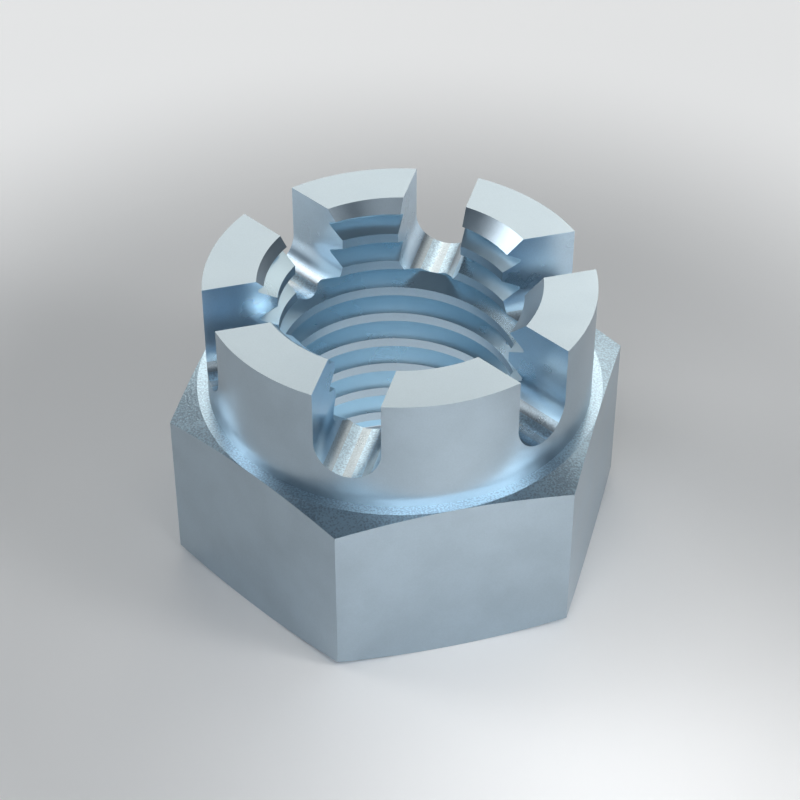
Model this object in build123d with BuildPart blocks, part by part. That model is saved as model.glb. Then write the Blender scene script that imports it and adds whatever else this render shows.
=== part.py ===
from build123d import *
import os

# Castle nut for an M24 bolt, standing on its bearing face with the thread's axis on Z.
# It is one piece, turned from hexagonal bar and slotted across the crown for a split pin.

# Hexagon and overall height
across_flats = 36.0
nut_height = 27.0
hexagon_height = 16.2
chamfer_angle = 15.0

# The turned face that bears on the joint, a little inside the flats
bearing_diameter = 35.7

# Crown above the hexagon
crown_diameter = 34.0

# Split-pin slots, with a full round at the bottom
slot_width = 5.8
slot_floor_height = 19.0
slot_cuts = 3

# Bore at the crests of the M24 x 3 thread, and its countersinks
bore_diameter = 21.2
countersink_depth = 1.75

# Derived sizes
shoulder_diameter = across_flats
slot_round = slot_width / 2
slot_round_height = slot_floor_height + slot_round
bar_corner_reach = across_flats

os.makedirs("parts", exist_ok=True)

with BuildPart() as castle_nut:
    # Hexagonal bar, with a corner on X and a flat facing Y
    with BuildSketch(Plane.XY):
        RegularPolygon(radius=across_flats / 2, side_count=6, major_radius=False)
    extrude(amount=nut_height)

    # Outline of the turned blank: bearing face, two corner chamfers, shoulder and crown
    with BuildSketch(Plane.XZ) as turned_outline:
        with BuildLine():
            lower_chamfer = PolarLine(
                start=(bearing_diameter / 2, 0),
                length=bar_corner_reach - bearing_diameter / 2,
                angle=chamfer_angle,
                length_mode=LengthMode.HORIZONTAL,
            )
            upper_chamfer = PolarLine(
                start=(shoulder_diameter / 2, hexagon_height),
                length=bar_corner_reach - shoulder_diameter / 2,
                angle=-chamfer_angle,
                length_mode=LengthMode.HORIZONTAL,
            )
            Line(lower_chamfer @ 1, upper_chamfer @ 1)
            Polyline(
                lower_chamfer @ 0,
                (0, 0),
                (0, nut_height),
                (crown_diameter / 2, nut_height),
                (crown_diameter / 2, hexagon_height),
                upper_chamfer @ 0,
            )
        make_face()
    revolve(axis=Axis.Z, mode=Mode.INTERSECT)

    # Bore, countersunk at both mouths
    Hole(radius=bore_diameter / 2)
    mouths = castle_nut.edges().filter_by(GeomType.CIRCLE).sort_by(SortBy.RADIUS)[:2]
    chamfer(mouths, length=countersink_depth)

    # Three cuts right across the crown leave six slots, each over a corner of the hexagon
    cut_planes = [Plane.YZ.rotated((0, 0, 180 * cut / slot_cuts)) for cut in range(slot_cuts)]
    with BuildSketch(*cut_planes) as slot_outline:
        with Locations((0, slot_round_height)):
            Circle(slot_round)
            Rectangle(slot_width, nut_height, align=(Align.CENTER, Align.MIN))
    extrude(amount=across_flats, both=True, mode=Mode.SUBTRACT)

castle_nut.part.label = "castle_nut"
export_step(castle_nut.part, "parts/castle_nut.step")
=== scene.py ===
"""Castle nut: the turned, slotted and threaded nut in blue-white zinc plate, on a pale studio floor."""

from math import cos, pi, radians, sin, sqrt, tan

import bmesh
import bpy
from bpy.props import FloatProperty, FloatVectorProperty, PointerProperty
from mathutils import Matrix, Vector


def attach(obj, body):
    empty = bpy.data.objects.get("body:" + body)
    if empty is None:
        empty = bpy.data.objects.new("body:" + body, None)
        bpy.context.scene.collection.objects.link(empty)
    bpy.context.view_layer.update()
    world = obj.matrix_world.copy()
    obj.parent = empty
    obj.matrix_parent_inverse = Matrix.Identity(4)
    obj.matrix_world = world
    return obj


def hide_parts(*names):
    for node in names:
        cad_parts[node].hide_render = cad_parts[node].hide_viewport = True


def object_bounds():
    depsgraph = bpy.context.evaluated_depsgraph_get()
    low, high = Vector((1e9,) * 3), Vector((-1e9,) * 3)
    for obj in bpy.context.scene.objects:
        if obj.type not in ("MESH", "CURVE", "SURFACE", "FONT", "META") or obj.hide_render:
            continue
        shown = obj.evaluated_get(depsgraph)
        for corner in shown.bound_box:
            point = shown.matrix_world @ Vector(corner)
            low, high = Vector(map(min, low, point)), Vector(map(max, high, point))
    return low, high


bl_info = {
    "name": "Castle Nut",
    "version": (1, 0, 0),
    "blender": (4, 5, 0),
    "location": "3D View > Sidebar > Castle Nut",
    "description": "Models a castle nut with its thread, its zinc plating and a small studio",
    "category": "Add Mesh",
}

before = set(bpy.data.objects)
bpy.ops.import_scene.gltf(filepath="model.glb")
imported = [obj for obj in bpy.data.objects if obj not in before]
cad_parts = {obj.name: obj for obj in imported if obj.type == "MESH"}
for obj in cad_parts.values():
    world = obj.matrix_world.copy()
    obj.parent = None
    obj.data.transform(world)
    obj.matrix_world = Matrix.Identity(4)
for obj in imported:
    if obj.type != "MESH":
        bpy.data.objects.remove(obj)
BLANK_LOW, BLANK_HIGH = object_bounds()

# Facets round a full turn
TURNING_STEPS = 240
THREAD_STEPS = 120
SLOT_STEPS = 96

# Points closer than this are one, and cutters reach this far past the blank
SAME_POINT = 0.000001
CLEARANCE = 0.002

# How much smaller the pilot bore's radius is than the thread's crests
PILOT_ALLOWANCE = 0.0008

# Spare turns of the tap below the nut and above it, which its flat ends cut off
TURNS_BELOW = 3
TURNS_ABOVE = 2

# How squarely a face looks the way that a test asks, where 1 is straight: nearly straight, as level as the
# shoulder is, as level as the chamfers are, and on the up-facing part of a slot's round floor, which is
# painted paler as a highlight
STRAIGHT = 0.99
LEVEL = 0.995
SLOPED = 0.9
SLOT_FLOOR_HIGHLIGHT = 0.72

# Faces that meet at less than this angle look smooth
SMOOTH_ANGLE = radians(9)

# Finishes of the plating: name and colour setting, the blur, grain size and grain depth as shares of those
# that are set, how much the grain speckles the colour, and how far the colour varies
FINISHES = (
    ("zinc_plate_open", "open_colour", 1.0, 1.0, 1.0, 0.5, 0.05),
    # Turned faces: their coarser grain is their own, and their brighter, bluer colour is painted reflected
    # light
    ("zinc_plate_turned", "turned_and_glow_colour", 1.0, 1.3, 5.0, 2.0, 0.17),
    # Much brighter, bluer copy in the grooves: painted light, the blue light reflected inside the bore
    ("zinc_plate_grooves", "groove_painted_light_colour", 0.9, 1.0, 0.3, 0.3, 0.03),
    # Brighter, bluer copy on the slot walls: painted light, the blue light reflected inside the slots
    ("zinc_plate_slots", "slot_painted_light_colour", 0.9, 1.0, 1.0, 0.5, 0.05),
    # Paler copy on the up-facing slot floors: a painted highlight
    ("zinc_plate_slot_floors", "slot_floor_highlight_colour", 0.9, 1.0, 2.0, 1.5, 0.1),
)

# Cloudy patches of the plating in a metre, the middle of a noise and how much of it is used either side,
# and how much the patches change the blur
CLOUDS = 260.0
NOISE_MIDDLE = 0.5
NOISE_REACH = 0.2
BLUR_CHANGE = 0.1

# Width of the floor, and the blur and strength of its sheen
FLOOR_WIDTH = 6.0
FLOOR_ROUGHNESS = 0.9
FLOOR_SHEEN = 0.1

# How far from the axis the floor's painted glow begins, beyond what the nut's sides mirror, and where it is
# full
FLOOR_GLOW_START = 0.042
FLOOR_GLOW_FULL = 0.084

# Light of the lamps behind the nut, a little warm, and of the other lamps
WARM = (1.0, 0.95, 0.87)
PLAIN = (1.0, 1.0, 1.0)

# Height of the point on the axis that the hung lamps face
LAMP_AIM = 0.012

# Lamps hung round the nut and facing it: name, bearing from X and lift in degrees, distance, width, height,
# the brightness of the lamp's face, where 1 is white, and its light
HUNG_LAMPS = (
    ("back_lamp", 79, 33, 0.6, 0.42, 0.30, 1.6, WARM),
    ("back_right_lamp", 44, 33, 0.6, 0.38, 0.30, 0.92, WARM),
    ("left_lamp", 149, 33, 0.5, 0.18, 0.24, 3.8, PLAIN),
    ("front_left_lamp", 237, 27, 0.5, 0.20, 0.28, 1.6, PLAIN),
    ("high_front_lamp", 270, 62, 0.5, 0.20, 0.20, 0.75, PLAIN),
    ("low_right_lamp", 312, 11, 0.5, 0.12, 0.08, 6.6, PLAIN),
    ("right_lamp", 326, 32, 0.5, 0.18, 0.16, 1.4, PLAIN),
    ("small_right_lamp", 323, 30, 0.5, 0.10, 0.10, 8.2, PLAIN),
)

# Small lamp over the floor that the front flat mirrors: place, width, depth and brightness
WASH_PLACE = (0.007, -0.038, 0.030)
WASH_WIDTH = 0.04
WASH_DEPTH = 0.02
WASH_BRIGHTNESS = 2.8

# How far the lamp in the bore lies over the floor
JUST_OVER = 0.00002

# How steeply a direction rises where the pale air of the horizon ends and where the dim air overhead begins
HORIZON_END = 0.04
OVERHEAD_START = 0.2

# Width of the camera's film and length of its lens, in millimetres, and the nearest and farthest that it sees
FILM_WIDTH = 36.0
LENS = 100.44
NEAREST = 0.005
FARTHEST = 20.0


class NutSizes(bpy.types.PropertyGroup):
    """Sizes of the turned and slotted blank"""

    across_flats: FloatProperty(
        name="Across flats",
        description="Width of the hexagon from flat to flat",
        default=BLANK_HIGH.y - BLANK_LOW.y,
        min=0.005,
        unit="LENGTH",
    )
    nut_height: FloatProperty(
        name="Height",
        description="From the bearing face to the top of the crown",
        default=BLANK_HIGH.z - BLANK_LOW.z,
        min=0.004,
        unit="LENGTH",
    )
    hexagon_height: FloatProperty(
        name="Hexagon height",
        description="From the bearing face to the shoulder under the crown",
        default=0.0162,
        min=0.002,
        unit="LENGTH",
    )
    chamfer_angle: FloatProperty(
        name="Chamfer angle",
        description="Slope of the two turned corner chamfers",
        default=radians(15),
        min=radians(5),
        max=radians(45),
        subtype="ANGLE",
        unit="ROTATION",
    )
    bearing_diameter: FloatProperty(
        name="Bearing diameter",
        description="Diameter of the turned face that bears on the joint",
        default=0.0357,
        min=0.004,
        unit="LENGTH",
    )
    crown_diameter: FloatProperty(
        name="Crown diameter",
        description="Outside diameter of the slotted crown",
        default=0.034,
        min=0.004,
        unit="LENGTH",
    )
    slot_width: FloatProperty(
        name="Slot width",
        description="Width of a split-pin slot",
        default=0.0058,
        min=0.0005,
        unit="LENGTH",
    )
    slot_floor_height: FloatProperty(
        name="Slot floor height",
        description="From the bearing face to the lowest line of a slot's round floor",
        default=0.019,
        min=0.002,
        unit="LENGTH",
    )
    countersink_depth: FloatProperty(
        name="Countersink depth",
        description="Depth of the 45 degree countersink at each mouth of the bore",
        default=0.00175,
        min=0.0,
        unit="LENGTH",
    )


class ThreadSizes(bpy.types.PropertyGroup):
    """Sizes of the right-hand thread in the bore"""

    crest_diameter: FloatProperty(
        name="Crest diameter",
        description="Bore across the crests of the thread",
        default=0.0212,
        min=0.002,
        unit="LENGTH",
    )
    root_diameter: FloatProperty(
        name="Root diameter",
        description="Diameter at the bottom of the grooves",
        default=0.0244,
        min=0.002,
        unit="LENGTH",
    )
    pitch: FloatProperty(
        name="Pitch",
        description="Rise of the thread in one turn",
        default=0.003,
        min=0.0002,
        unit="LENGTH",
    )
    crest_width: FloatProperty(
        name="Crest width",
        description="Width of the flat left on each crest",
        default=0.00094,
        min=0.0,
        unit="LENGTH",
    )
    root_width: FloatProperty(
        name="Root width",
        description="Width of the flat at the bottom of each groove",
        default=0.00026,
        min=0.0,
        unit="LENGTH",
    )
    crest_height: FloatProperty(
        name="Crest height",
        description="Height of a crest's upper edge at the back of the bore, which places the thread",
        default=0.01832,
        unit="LENGTH",
    )


class PlatingFinish(bpy.types.PropertyGroup):
    """Colours and surface of the zinc plating"""

    open_colour: FloatVectorProperty(
        name="Open faces",
        description="Plating on the flats, the crown and the thread's crests",
        default=(0.44, 0.53, 0.60),
        min=0.0,
        max=1.0,
        size=3,
        subtype="COLOR",
    )
    # Brighter and bluer than the open faces: painted reflected light on the shoulder and chamfers
    turned_and_glow_colour: FloatVectorProperty(
        name="Turned faces",
        description="Plating on the shoulder and the shallow chamfers",
        default=(0.57, 0.74, 0.88),
        min=0.0,
        max=1.0,
        size=3,
        subtype="COLOR",
    )
    # Paler than the open faces, on the up-facing slot floors: a painted highlight
    slot_floor_highlight_colour: FloatVectorProperty(
        name="Slot floors",
        description="Paler plating on the round floors of the slots",
        default=(0.51, 0.59, 0.645),
        min=0.0,
        max=1.0,
        size=3,
        subtype="COLOR",
    )
    # Brighter and bluer than the open faces: painted light, the blue light reflected inside the slots
    slot_painted_light_colour: FloatVectorProperty(
        name="Slot walls",
        description="Bluer plating on the walls of the slots",
        default=(0.60, 0.76, 0.89),
        min=0.0,
        max=1.0,
        size=3,
        subtype="COLOR",
    )
    # Much brighter and bluer than the open faces: painted light, the blue light reflected inside the bore
    groove_painted_light_colour: FloatVectorProperty(
        name="Grooves",
        description="Bright blue plating in the grooves of the thread",
        default=(0.68, 0.86, 0.97),
        min=0.0,
        max=1.0,
        size=3,
        subtype="COLOR",
    )
    roughness: FloatProperty(
        name="Roughness",
        description="Blur of the plating's reflections",
        default=0.32,
        min=0.0,
        max=1.0,
        subtype="FACTOR",
    )
    grain_size: FloatProperty(
        name="Grain size",
        description="Width of a grain of the plating",
        default=0.00014,
        min=0.00001,
        precision=5,
        unit="LENGTH",
    )
    grain_depth: FloatProperty(
        name="Grain depth",
        description="Depth of the grain on the flats and the crown, and of the coarser grain elsewhere",
        default=0.000004,
        min=0.0,
        precision=6,
        unit="LENGTH",
    )


class StudioSettings(bpy.types.PropertyGroup):
    """Floor, lamps and camera"""

    floor_colour: FloatVectorProperty(
        name="Floor",
        description="Colour of the plain floor",
        default=(0.90, 0.90, 0.90),
        min=0.0,
        max=1.0,
        size=3,
        subtype="COLOR",
    )
    # Painted glow: how much light the floor emits for camera, glossy and transmission rays, away from the nut
    floor_glow: FloatProperty(
        name="Floor glow",
        description="How much paler than its paint the floor looks, away from the nut",
        default=0.32,
        min=0.0,
        max=1.0,
    )
    lamp_brightness: FloatProperty(
        name="Lamps",
        description="Brightness of all the hung lamps together, where 1 is their own",
        default=1.0,
        min=0.0,
    )
    bore_brightness: FloatProperty(
        name="Bore lamp",
        description="Brightness of the round lamp on the floor inside the bore, where 1 is white",
        default=0.7,
        min=0.0,
    )
    air_colour: FloatVectorProperty(
        name="Air",
        description="Dim, cool air overhead",
        default=(0.05, 0.07, 0.09),
        min=0.0,
        max=1.0,
        size=3,
        subtype="COLOR",
    )
    horizon_colour: FloatVectorProperty(
        name="Horizon",
        description="Pale air round the horizon",
        default=(0.72, 0.73, 0.74),
        min=0.0,
        max=1.0,
        size=3,
        subtype="COLOR",
    )
    camera_turn: FloatProperty(
        name="Camera turn",
        description="How far the camera is turned round the nut from its front",
        default=radians(-15),
        subtype="ANGLE",
        unit="ROTATION",
    )
    camera_lift: FloatProperty(
        name="Camera lift",
        description="How far the camera looks down",
        default=radians(40),
        subtype="ANGLE",
        unit="ROTATION",
    )
    camera_distance: FloatProperty(
        name="Camera distance",
        description="From the camera to the point it aims at",
        default=0.20023,
        min=0.01,
        unit="LENGTH",
    )
    camera_aim: FloatProperty(
        name="Aim height",
        description="Height of the point on the axis that the camera aims at",
        default=0.01354,
        unit="LENGTH",
    )


def deselect_objects():
    """Leaves object mode with nothing selected."""
    if bpy.context.object is not None and bpy.context.object.mode != "OBJECT":
        bpy.ops.object.mode_set(mode="OBJECT")
    bpy.ops.object.select_all(action="DESELECT")


def work_on(piece):
    """Selects one piece alone and makes it active."""
    deselect_objects()
    piece.select_set(True)
    bpy.context.view_layer.objects.active = piece


def settle(piece):
    """Puts a piece's place, turn and size into its mesh."""
    work_on(piece)
    bpy.ops.object.transform_apply(location=True, rotation=True, scale=True)


def edit(piece):
    """Opens a piece in edit mode with nothing selected."""
    work_on(piece)
    bpy.ops.object.mode_set(mode="EDIT")
    bpy.ops.mesh.select_mode(type="VERT")
    bpy.ops.mesh.select_all(action="DESELECT")


def pick_faces(piece, wanted):
    """Selects the faces that a test accepts, in edit mode."""
    bpy.ops.mesh.select_mode(type="FACE")
    bpy.ops.mesh.select_all(action="DESELECT")
    shape = bmesh.from_edit_mesh(piece.data)
    for face in shape.faces:
        if wanted(face):
            face.select_set(True)
    bmesh.update_edit_mesh(piece.data)


def close_outline(piece):
    """Joins the two loose ends of an outline with a last edge."""
    bpy.ops.mesh.select_mode(type="VERT")
    bpy.ops.mesh.select_all(action="DESELECT")
    shape = bmesh.from_edit_mesh(piece.data)
    for point in shape.verts:
        point.select_set(len(point.link_edges) == 1)
    bmesh.update_edit_mesh(piece.data)
    bpy.ops.mesh.edge_face_add()


def draw_outline(name, points):
    """Draws a line through points (radius, height) beside the axis, one extruded point after another."""
    radius, height = points[0]
    bpy.ops.mesh.primitive_plane_add(size=SAME_POINT * 100, location=(radius, 0, height))
    outline = bpy.context.object
    outline.name = name
    settle(outline)
    edit(outline)
    bpy.ops.mesh.select_all(action="SELECT")
    bpy.ops.mesh.merge(type="CENTER")
    bpy.ops.mesh.select_all(action="SELECT")
    for next_radius, next_height in points[1:]:
        step = (next_radius - radius, 0, next_height - height)
        bpy.ops.mesh.extrude_vertices_move(TRANSFORM_OT_translate={"value": step})
        radius, height = next_radius, next_height
    return outline


def tidy_skin():
    """Merges doubled points and turns every face outwards, in edit mode."""
    bpy.ops.mesh.select_all(action="SELECT")
    bpy.ops.mesh.remove_doubles(threshold=SAME_POINT)
    bpy.ops.mesh.select_all(action="SELECT")
    bpy.ops.mesh.normals_make_consistent(inside=False)
    bpy.ops.mesh.select_all(action="DESELECT")


def paint_faces(piece, finish, wanted):
    """Gives one of a piece's finishes to the faces that a test accepts."""
    edit(piece)
    pick_faces(piece, wanted)
    piece.active_material_index = piece.data.materials.find(finish)
    bpy.ops.object.material_slot_assign()
    bpy.ops.mesh.select_all(action="DESELECT")
    deselect_objects()


def cut_away(piece, cutter):
    """Cuts a closed cutter out of a piece, gives the cut faces its finish, and clears the cutter away."""
    work_on(piece)
    bpy.ops.object.modifier_add(type="BOOLEAN")
    cut = piece.modifiers[-1]
    cut.operation = "DIFFERENCE"
    cut.solver = "EXACT"
    cut.material_mode = "TRANSFER"
    cut.object = cutter
    bpy.ops.object.modifier_apply(modifier=cut.name)
    work_on(cutter)
    bpy.ops.object.delete()


def turn_blank(sizes, thread):
    """Turns the blank from its outline, with its chamfers, shoulder, crown, countersinks and a pilot bore."""
    corner = sizes.across_flats / sqrt(3) + CLEARANCE
    slope = tan(sizes.chamfer_angle)
    bearing = sizes.bearing_diameter / 2
    shoulder = sizes.across_flats / 2
    crown = sizes.crown_diameter / 2
    mouth = thread.crest_diameter / 2 + sizes.countersink_depth
    pilot = thread.crest_diameter / 2 - PILOT_ALLOWANCE
    sink = mouth - pilot
    blank = draw_outline(
        "nut",
        [
            (mouth, 0),
            (bearing, 0),
            (corner, (corner - bearing) * slope),
            (corner, sizes.hexagon_height - (corner - shoulder) * slope),
            (shoulder, sizes.hexagon_height),
            (crown, sizes.hexagon_height),
            (crown, sizes.nut_height),
            (mouth, sizes.nut_height),
            (pilot, sizes.nut_height - sink),
            (pilot, sink),
        ],
    )
    close_outline(blank)
    bpy.ops.mesh.select_all(action="SELECT")
    bpy.ops.mesh.spin(steps=TURNING_STEPS, angle=2 * pi, center=(0, 0, 0), axis=(0, 0, 1))
    tidy_skin()
    return blank


def mill_flats(blank, sizes):
    """Mills the six flats, the first one facing the back."""
    edit(blank)
    for flat in range(6):
        bearing = radians(90 + 60 * flat)
        facing = Vector((cos(bearing), sin(bearing), 0))
        bpy.ops.mesh.select_mode(type="VERT")
        bpy.ops.mesh.select_all(action="SELECT")
        bpy.ops.mesh.bisect(
            plane_co=facing * sizes.across_flats / 2,
            plane_no=facing,
            use_fill=True,
            clear_outer=True,
            threshold=SAME_POINT / 10,
        )
    tidy_skin()
    deselect_objects()


def slot_cutter(sizes, finish):
    """A round-nosed cutter along X, from below the slot's floor to above the crown."""
    nose = sizes.slot_width / 2
    centre_height = sizes.slot_floor_height + nose
    bpy.ops.mesh.primitive_cylinder_add(
        vertices=SLOT_STEPS,
        radius=nose,
        depth=sizes.across_flats + 2 * CLEARANCE,
        location=(0, 0, centre_height),
        rotation=(0, pi / 2, 0),
    )
    cutter = bpy.context.object
    cutter.name = "slot_cutter"
    settle(cutter)
    edit(cutter)
    bpy.ops.mesh.select_all(action="SELECT")
    bpy.ops.mesh.bisect(
        plane_co=(0, 0, centre_height),
        plane_no=(0, 0, 1),
        use_fill=True,
        clear_outer=True,
        threshold=SAME_POINT / 10,
    )
    pick_faces(cutter, lambda face: face.normal.z > STRAIGHT)
    rise = sizes.nut_height + CLEARANCE - centre_height
    bpy.ops.mesh.extrude_region_move(TRANSFORM_OT_translate={"value": (0, 0, rise)})
    tidy_skin()
    deselect_objects()
    cutter.data.materials.append(finish)
    return cutter


def cut_slots(blank, sizes, finish):
    """Cuts the crown right across three times, a sixth of a turn apart, which leaves six slots."""
    first = slot_cutter(sizes, finish)
    cutters = [first]
    for cut in (1, 2):
        work_on(first)
        bpy.ops.object.duplicate(linked=False)
        cutter = bpy.context.object
        bpy.ops.transform.rotate(value=radians(60 * cut), orient_axis="Z", center_override=(0, 0, 0))
        settle(cutter)
        cutters.append(cutter)
    for cutter in cutters:
        cut_away(blank, cutter)


def thread_tap(sizes, thread, finish):
    """A right-hand tap, longer than the nut: one groove drawn beside the axis and wound up in a screw."""
    crest = thread.crest_diameter / 2
    root = thread.root_diameter / 2
    flank = (thread.pitch - thread.crest_width - thread.root_width) / 2
    # The groove is drawn on X, where it lies a quarter of the pitch lower than at the back
    turns_below = int(thread.crest_height / thread.pitch) + TURNS_BELOW
    top_of_crest = thread.crest_height - thread.pitch / 4 - turns_below * thread.pitch
    turns = int((sizes.nut_height + CLEARANCE - top_of_crest) / thread.pitch) + TURNS_ABOVE
    tap = draw_outline(
        "thread_tap",
        [
            (crest, top_of_crest - thread.crest_width),
            (crest, top_of_crest),
            (root, top_of_crest + flank),
            (root, top_of_crest + flank + thread.root_width),
            (crest, top_of_crest + thread.pitch - thread.crest_width),
        ],
    )
    work_on(tap)
    bpy.ops.object.modifier_add(type="SCREW")
    wind = tap.modifiers[-1]
    wind.steps = THREAD_STEPS
    wind.render_steps = THREAD_STEPS
    wind.iterations = turns
    wind.screw_offset = thread.pitch
    wind.use_smooth_shade = False
    bpy.ops.object.modifier_apply(modifier=wind.name)
    edit(tap)
    bpy.ops.mesh.select_all(action="SELECT")
    bpy.ops.mesh.remove_doubles(threshold=SAME_POINT)
    for height, upward in ((-CLEARANCE, -1), (sizes.nut_height + CLEARANCE, 1)):
        bpy.ops.mesh.select_all(action="SELECT")
        bpy.ops.mesh.bisect(
            plane_co=(0, 0, height),
            plane_no=(0, 0, upward),
            use_fill=True,
            clear_outer=True,
            threshold=SAME_POINT / 10,
        )
    tidy_skin()
    deselect_objects()
    tap.data.materials.append(finish)
    return tap


def zinc_plate(name, colour, roughness, grain_size, grain_depth, speckle, contrast):
    """Blue-white zinc plating: a metal, faintly cloudy, with a fine grain that also speckles its colour."""
    plate = bpy.data.materials.new(name)
    plate.use_nodes = True
    nodes = plate.node_tree.nodes
    links = plate.node_tree.links
    shader = nodes["Principled BSDF"]
    shader.inputs["Metallic"].default_value = 1.0
    place = nodes.new("ShaderNodeTexCoord")

    cloud = nodes.new("ShaderNodeTexNoise")
    cloud.inputs["Scale"].default_value = CLOUDS
    cloud.inputs["Detail"].default_value = 3.0
    links.new(place.outputs["Object"], cloud.inputs["Vector"])

    grain = nodes.new("ShaderNodeTexNoise")
    grain.inputs["Scale"].default_value = 1.0 / grain_size
    grain.inputs["Detail"].default_value = 2.0
    links.new(place.outputs["Object"], grain.inputs["Vector"])

    mottle = nodes.new("ShaderNodeMath")
    mottle.operation = "MULTIPLY_ADD"
    mottle.inputs[1].default_value = speckle
    links.new(grain.outputs["Fac"], mottle.inputs[0])
    links.new(cloud.outputs["Fac"], mottle.inputs[2])

    tint = nodes.new("ShaderNodeMapRange")
    tint.data_type = "FLOAT_VECTOR"
    middle = NOISE_MIDDLE * (1 + speckle)
    tint.inputs[7].default_value = (middle - NOISE_REACH,) * 3
    tint.inputs[8].default_value = (middle + NOISE_REACH,) * 3
    tint.inputs[9].default_value = [(1 - contrast) * c for c in colour]
    tint.inputs[10].default_value = [min(1.0, (1 + contrast) * c) for c in colour]
    links.new(mottle.outputs["Value"], tint.inputs[6])
    links.new(tint.outputs["Vector"], shader.inputs["Base Color"])

    blur = nodes.new("ShaderNodeMapRange")
    blur.inputs["From Min"].default_value = NOISE_MIDDLE - NOISE_REACH
    blur.inputs["From Max"].default_value = NOISE_MIDDLE + NOISE_REACH
    blur.inputs["To Min"].default_value = roughness * (1 - BLUR_CHANGE)
    blur.inputs["To Max"].default_value = roughness * (1 + BLUR_CHANGE)
    links.new(cloud.outputs["Fac"], blur.inputs["Value"])
    links.new(blur.outputs["Result"], shader.inputs["Roughness"])

    relief = nodes.new("ShaderNodeBump")
    relief.inputs["Strength"].default_value = 1.0
    relief.inputs["Distance"].default_value = grain_depth
    links.new(grain.outputs["Fac"], relief.inputs["Height"])
    links.new(relief.outputs["Normal"], shader.inputs["Normal"])
    return plate


def is_turned(face, shoulder_height):
    """Whether a face lies on the shoulder under the crown or on one of the two shallow chamfers."""
    if face.normal.z > LEVEL:
        return abs(face.calc_center_median().z - shoulder_height) < SAME_POINT * 10
    return SLOPED < abs(face.normal.z) < LEVEL


def is_crest(face, crest_radius):
    """Whether a face lies on the flat crest of the thread."""
    middle = face.calc_center_median()
    inwards = Vector((-middle.x, -middle.y, 0))
    if inwards.length > crest_radius + SAME_POINT * 5:
        return False
    return face.normal.dot(inwards.normalized()) > STRAIGHT


def is_slot_floor_highlight(face, slots):
    """Whether a face that was cut with the slots' finish faces up along the bottom of a slot, where a paler
    colour paints a highlight.
    """
    return face.material_index == slots and face.normal.z > SLOT_FLOOR_HIGHLIGHT


class CASTLENUT_OT_nut(bpy.types.Operator):
    """Turns, mills, taps and slots the nut, and plates it"""

    bl_idname = "castle_nut.make_nut"
    bl_label = "Make nut"

    def execute(self, context):
        sizes = context.scene.castle_nut_sizes
        thread = context.scene.castle_nut_thread
        plating = context.scene.castle_nut_plating
        plates = {}
        for name, colour, blur, grain, depth, speckle, contrast in FINISHES:
            plates[name] = zinc_plate(
                name,
                getattr(plating, colour),
                plating.roughness * blur,
                plating.grain_size * grain,
                plating.grain_depth * depth,
                speckle,
                contrast,
            )

        nut = turn_blank(sizes, thread)
        deselect_objects()
        for name in ("zinc_plate_open", "zinc_plate_turned", "zinc_plate_slot_floors"):
            nut.data.materials.append(plates[name])
        mill_flats(nut, sizes)
        # The tap's cut faces take the brighter, bluer copy, which paints the light reflected in the bore
        cut_away(nut, thread_tap(sizes, thread, plates["zinc_plate_grooves"]))
        # The slots' cut faces take the brighter, bluer copy, which paints the light reflected in the slots
        cut_slots(nut, sizes, plates["zinc_plate_slots"])
        edit(nut)
        tidy_skin()
        slots = nut.data.materials.find("zinc_plate_slots")
        paint_faces(nut, "zinc_plate_open", lambda face: is_crest(face, thread.crest_diameter / 2))
        # Shoulder and chamfers take the brighter, bluer copy, which paints reflected light
        paint_faces(nut, "zinc_plate_turned", lambda face: is_turned(face, sizes.hexagon_height))
        # The up-facing slot floors take the paler copy, a painted highlight
        paint_faces(nut, "zinc_plate_slot_floors", lambda face: is_slot_floor_highlight(face, slots))
        work_on(nut)
        bpy.ops.object.shade_smooth_by_angle(angle=SMOOTH_ANGLE)
        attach(nut, "root")
        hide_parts("castle_nut")
        return {"FINISHED"}


def floor_paint(name, colour, glow, glow_start, glow_full):
    """A matt paint that takes the nut's shadow, with a painted glow away from the nut: there it emits light
    for camera, glossy and transmission rays, so it looks paler to the camera and in the metal.
    """
    paint = bpy.data.materials.new(name)
    paint.use_nodes = True
    nodes = paint.node_tree.nodes
    links = paint.node_tree.links
    shader = nodes["Principled BSDF"]
    shader.inputs["Base Color"].default_value = (*colour, 1)
    shader.inputs["Roughness"].default_value = FLOOR_ROUGHNESS
    shader.inputs["Specular IOR Level"].default_value = FLOOR_SHEEN

    place = nodes.new("ShaderNodeTexCoord")
    reach = nodes.new("ShaderNodeVectorMath")
    reach.operation = "LENGTH"
    links.new(place.outputs["Object"], reach.inputs[0])
    rise = nodes.new("ShaderNodeMapRange")
    rise.interpolation_type = "SMOOTHSTEP"
    rise.inputs["From Min"].default_value = glow_start
    rise.inputs["From Max"].default_value = glow_full
    rise.inputs["To Min"].default_value = 0.0
    rise.inputs["To Max"].default_value = glow
    links.new(reach.outputs["Value"], rise.inputs["Value"])

    # Painted glow: the floor emits for camera, glossy and transmission rays only, rising away from the nut
    ray = nodes.new("ShaderNodeLightPath")
    seen = ray.outputs["Is Camera Ray"]
    for kind in ("Is Glossy Ray", "Is Transmission Ray"):
        either = nodes.new("ShaderNodeMath")
        either.operation = "MAXIMUM"
        links.new(seen, either.inputs[0])
        links.new(ray.outputs[kind], either.inputs[1])
        seen = either.outputs["Value"]
    strength = nodes.new("ShaderNodeMath")
    strength.operation = "MULTIPLY"
    links.new(seen, strength.inputs[0])
    links.new(rise.outputs["Result"], strength.inputs[1])
    shader.inputs["Emission Color"].default_value = (1, 1, 1, 1)
    links.new(strength.outputs["Value"], shader.inputs["Emission Strength"])
    return paint


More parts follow.
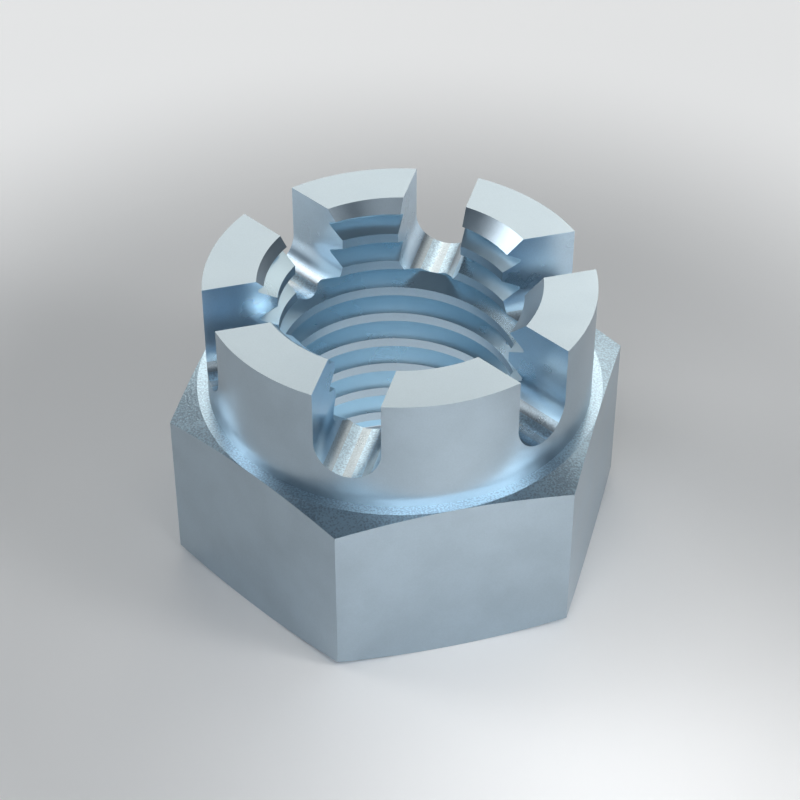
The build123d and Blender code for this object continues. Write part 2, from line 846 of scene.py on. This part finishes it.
def hang_lamp(name, bearing, lift, distance, width, height, brightness, light):
    """Hangs a soft lamp that faces the nut, its bearing from X and its lift over the floor in degrees."""
    level = Vector((cos(radians(bearing)), sin(radians(bearing)), 0))
    towards = level * cos(radians(lift)) + Vector((0, 0, sin(radians(lift))))
    bpy.ops.object.light_add(type="AREA", location=Vector((0, 0, LAMP_AIM)) + towards * distance)
    lamp = bpy.context.object
    lamp.name = name
    lamp.rotation_euler = towards.to_track_quat("Z", "Y").to_euler()
    lamp.data.shape = "RECTANGLE"
    lamp.data.size = width
    lamp.data.size_y = height
    lamp.data.energy = brightness * pi * width * height
    lamp.data.color = light
    lamp.visible_camera = False
    return lamp


def wash_lamp(name, place, width, depth, brightness):
    """Hangs a small lamp that faces straight down, to wash the floor that the nut's front mirrors."""
    bpy.ops.object.light_add(type="AREA", location=place)
    lamp = bpy.context.object
    lamp.name = name
    lamp.data.shape = "RECTANGLE"
    lamp.data.size = width
    lamp.data.size_y = depth
    lamp.data.energy = brightness * pi * width * depth
    lamp.visible_camera = False
    return lamp


def floor_lamp(name, diameter, brightness):
    """Lays a round lamp on the floor in the bore, where it stands for pale ground seen through the nut."""
    bpy.ops.object.light_add(type="AREA", location=(0, 0, JUST_OVER), rotation=(pi, 0, 0))
    lamp = bpy.context.object
    lamp.name = name
    lamp.data.shape = "DISK"
    lamp.data.size = diameter
    lamp.data.energy = brightness * pi * pi * diameter**2 / 4
    return lamp


def studio_air(horizon, overhead):
    """Air that is pale round the horizon and dim overhead, by their colours."""
    air = bpy.data.worlds.new("studio_air")
    air.use_nodes = True
    nodes = air.node_tree.nodes
    links = air.node_tree.links
    direction = nodes.new("ShaderNodeTexCoord")
    parts = nodes.new("ShaderNodeSeparateXYZ")
    fade = nodes.new("ShaderNodeValToRGB")
    fade.color_ramp.elements[0].position = HORIZON_END
    fade.color_ramp.elements[0].color = (*horizon, 1)
    fade.color_ramp.elements[1].position = OVERHEAD_START
    fade.color_ramp.elements[1].color = (*overhead, 1)
    links.new(direction.outputs["Generated"], parts.inputs["Vector"])
    links.new(parts.outputs["Z"], fade.inputs["Fac"])
    links.new(fade.outputs["Color"], nodes["Background"].inputs["Color"])
    return air


class CASTLENUT_OT_stage(bpy.types.Operator):
    """Lays the floor, hangs the lamps and sets up the camera"""

    bl_idname = "castle_nut.make_stage"
    bl_label = "Make stage"

    def execute(self, context):
        sizes = context.scene.castle_nut_sizes
        thread = context.scene.castle_nut_thread
        studio = context.scene.castle_nut_studio
        deselect_objects()
        bpy.ops.mesh.primitive_plane_add(size=FLOOR_WIDTH, location=(0, 0, 0))
        floor = bpy.context.object
        floor.name = "studio_floor"
        paint = floor_paint("floor_paint", studio.floor_colour, studio.floor_glow, FLOOR_GLOW_START, FLOOR_GLOW_FULL)
        floor.data.materials.append(paint)

        for name, bearing, lift, distance, width, height, brightness, light in HUNG_LAMPS:
            brightness *= studio.lamp_brightness
            hang_lamp(name, bearing, lift, distance, width, height, brightness, light)
        wash = WASH_BRIGHTNESS * studio.lamp_brightness
        wash_lamp("wash_lamp", WASH_PLACE, WASH_WIDTH, WASH_DEPTH, wash)
        mouth = thread.crest_diameter + 2 * sizes.countersink_depth
        floor_lamp("bore_lamp", mouth, studio.bore_brightness)
        context.scene.world = studio_air(studio.horizon_colour, studio.air_colour)

        turn, lift = studio.camera_turn, studio.camera_lift
        back = Vector((sin(turn) * cos(lift), -cos(turn) * cos(lift), sin(lift)))
        bpy.ops.object.camera_add(
            location=Vector((0, 0, studio.camera_aim)) + back * studio.camera_distance,
            rotation=(pi / 2 - lift, 0, turn),
        )
        camera = bpy.context.object
        camera.name = "studio_camera"
        camera.data.sensor_width = FILM_WIDTH
        camera.data.lens = LENS
        camera.data.clip_start = NEAREST
        camera.data.clip_end = FARTHEST
        context.scene.camera = camera
        context.scene.view_settings.view_transform = "Standard"
        return {"FINISHED"}


class CASTLENUT_PT_panel(bpy.types.Panel):
    """Sizes, finish and studio of the castle nut"""

    bl_idname = "CASTLENUT_PT_panel"
    bl_label = "Castle Nut"
    bl_space_type = "VIEW_3D"
    bl_region_type = "UI"
    bl_category = "Castle Nut"

    def draw(self, context):
        layout = self.layout
        for title, (name, group) in SETTINGS.items():
            box = layout.box()
            box.label(text=title)
            settings = getattr(context.scene, name)
            for setting in group.__annotations__:
                box.prop(settings, setting)
        layout.operator(CASTLENUT_OT_nut.bl_idname)
        layout.operator(CASTLENUT_OT_stage.bl_idname)


SETTINGS = {
    "Blank": ("castle_nut_sizes", NutSizes),
    "Thread": ("castle_nut_thread", ThreadSizes),
    "Plating": ("castle_nut_plating", PlatingFinish),
    "Studio": ("castle_nut_studio", StudioSettings),
}
CLASSES = (
    NutSizes,
    ThreadSizes,
    PlatingFinish,
    StudioSettings,
    CASTLENUT_OT_nut,
    CASTLENUT_OT_stage,
    CASTLENUT_PT_panel,
)


def register():
    """Adds the classes, and the settings to the scene."""
    for each in CLASSES:
        bpy.utils.register_class(each)
    for name, group in SETTINGS.values():
        setattr(bpy.types.Scene, name, PointerProperty(type=group))


def unregister():
    """Takes the settings and the classes away again."""
    for name, _ in SETTINGS.values():
        delattr(bpy.types.Scene, name)
    for each in reversed(CLASSES):
        bpy.utils.unregister_class(each)


def main():
    register()
    bpy.ops.castle_nut.make_nut()
    bpy.ops.castle_nut.make_stage()


if __name__ == "__main__":
    main()
